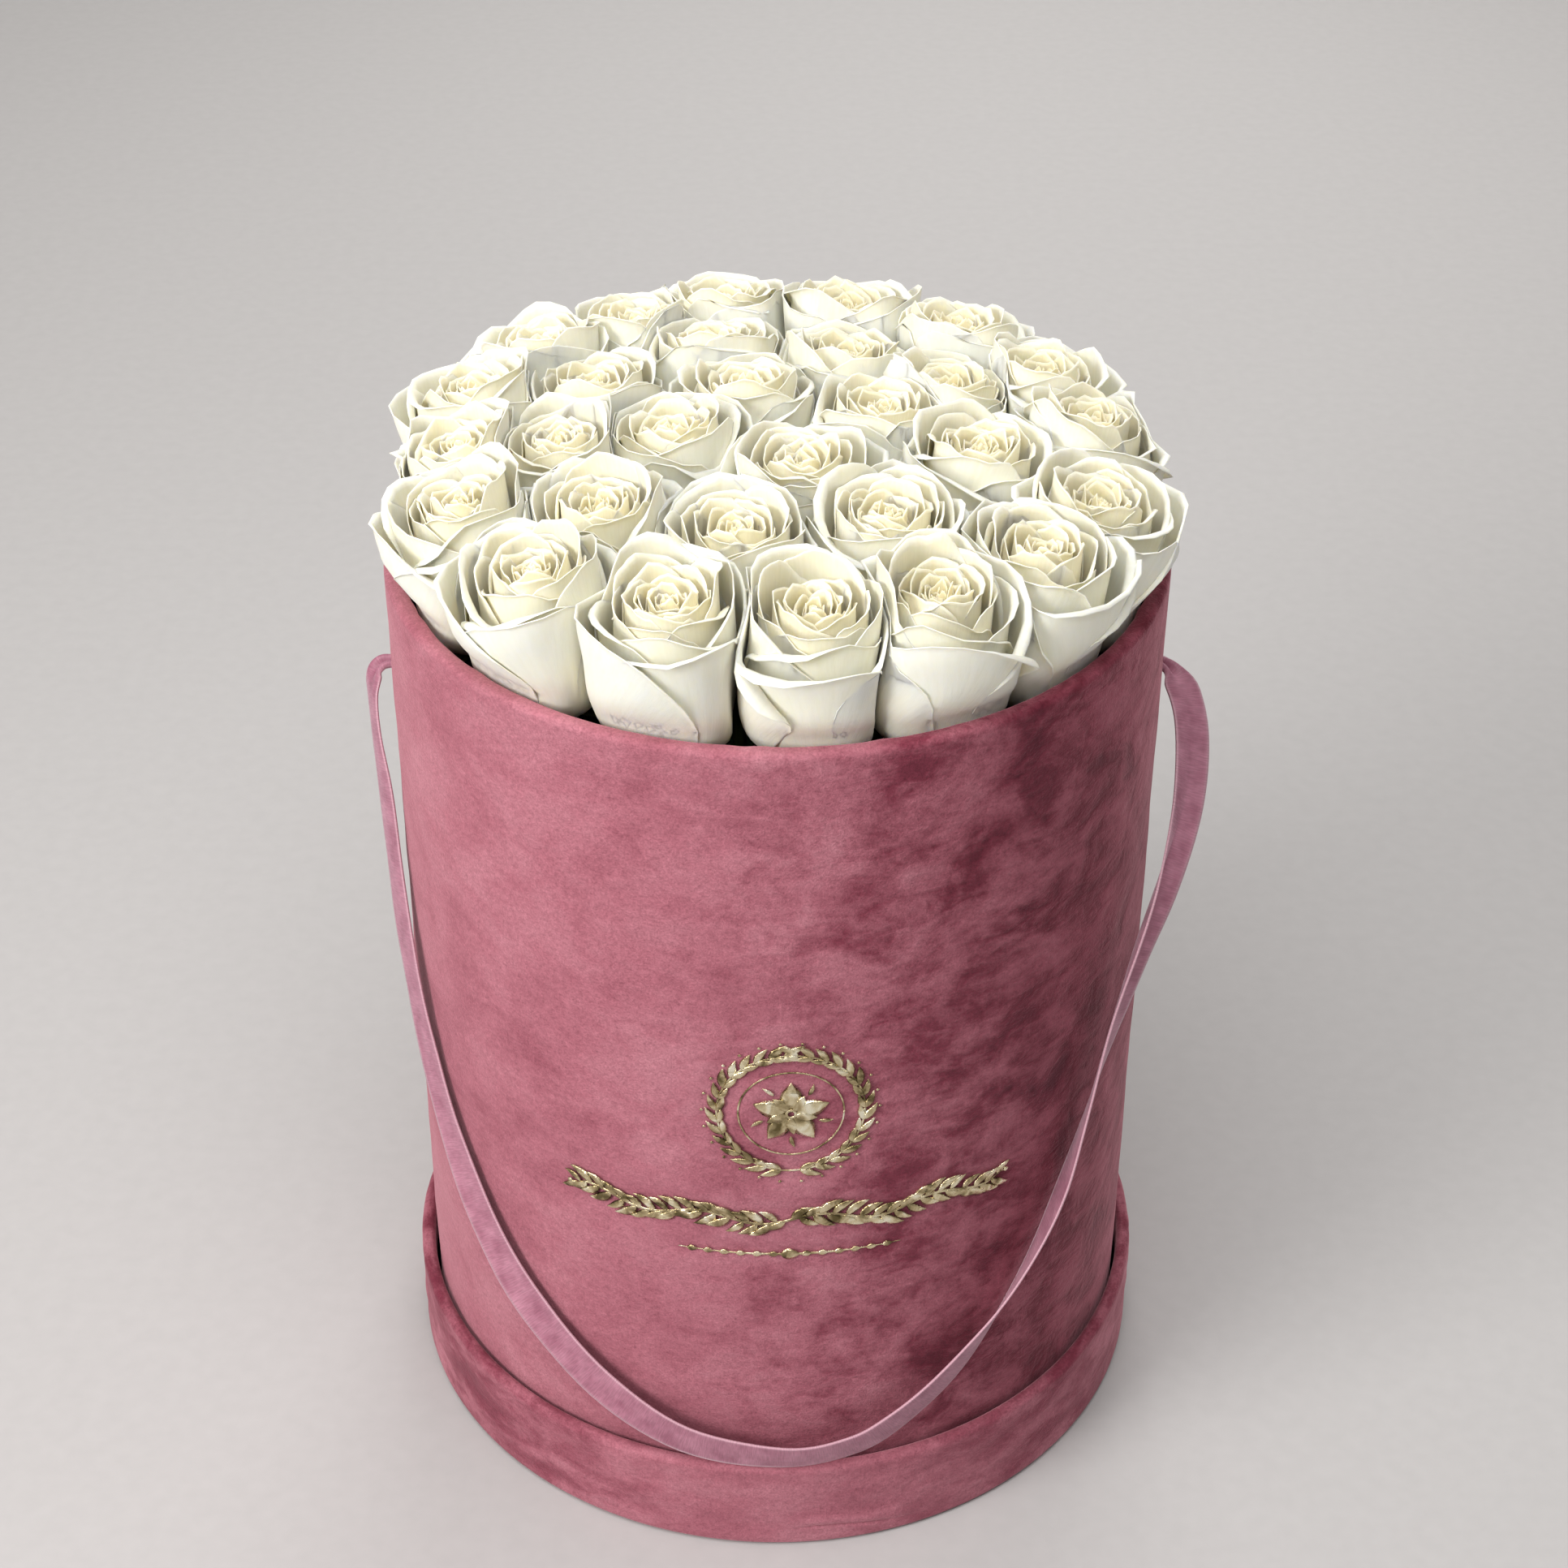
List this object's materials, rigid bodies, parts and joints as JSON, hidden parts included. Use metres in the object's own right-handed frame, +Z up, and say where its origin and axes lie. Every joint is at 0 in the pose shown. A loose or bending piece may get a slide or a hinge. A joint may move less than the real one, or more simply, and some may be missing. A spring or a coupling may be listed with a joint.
{
  "type": "flower box",
  "caption": "Tall round velvet hat box filled with white roses in wet foam, standing in its upturned lid, with a ribbon handle hanging over the front.",
  "frame": {"origin": "on the table, under the middle of the upturned lid", "axes": "+Z up; the front with the foil stamping looks along -Y; the ribbon handle turns about the X direction"},
  "size_m": [0.2406, 0.2341, 0.3229],
  "materials": {
    "box_velvet": "matte",
    "lid_velvet": "matte",
    "greyboard": "matte",
    "lining_paper": "matte",
    "foil": "polished",
    "ribbon": "satin",
    "petals": "matte",
    "riser_foam": "matte",
    "liner_film": "gloss",
    "wet_foam": "matte"
  },
  "bodies": {
    "lid": {"lid_face_velvet": "lid_velvet", "lid_side_velvet": "lid_velvet", "lid_face_board": "greyboard", "lid_side_board": "greyboard", "lid_lining_floor": "lining_paper", "lid_lining_wall": "lining_paper"},
    "box": {"box_side_velvet": "box_velvet", "box_bottom_paper": "lining_paper", "box_side_board": "greyboard", "box_bottom_board": "greyboard", "box_lining_wall": "lining_paper", "box_lining_floor": "lining_paper", "foil_wreath": "foil", "foil_blossom": "foil", "foil_garland": "foil", "foil_divider": "foil", "riser_block": "riser_foam", "liner_cup": "liner_film", "floral_foam": "wet_foam", "rose_01": "petals", "rose_02": "petals", "rose_03": "petals", "rose_04": "petals", "rose_05": "petals", "rose_06": "petals", "rose_07": "petals", "rose_08": "petals", "rose_09": "petals", "rose_10": "petals", "rose_11": "petals", "rose_12": "petals", "rose_13": "petals", "rose_14": "petals", "rose_15": "petals", "rose_16": "petals", "rose_17": "petals", "rose_18": "petals", "rose_19": "petals", "rose_20": "petals", "rose_21": "petals", "rose_22": "petals", "rose_23": "petals", "rose_24": "petals", "rose_25": "petals", "rose_26": "petals", "rose_27": "petals", "rose_28": "petals", "rose_29": "petals"},
    "handle": {"ribbon_handle": "ribbon", "ribbon_knot_left": "ribbon", "ribbon_knot_right": "ribbon"}
  },
  "joints": [
    {"name": "box_lift", "type": "slide", "parent": "lid", "child": "box", "axis": [0, 0, 1], "range_m": [0, 0.06]},
    {"name": "handle_swing", "type": "hinge", "parent": "box", "child": "handle", "pos_m": [0, 0, 0.243], "axis": [-1, 0, 0], "range_deg": [0, 150]}
  ]
}
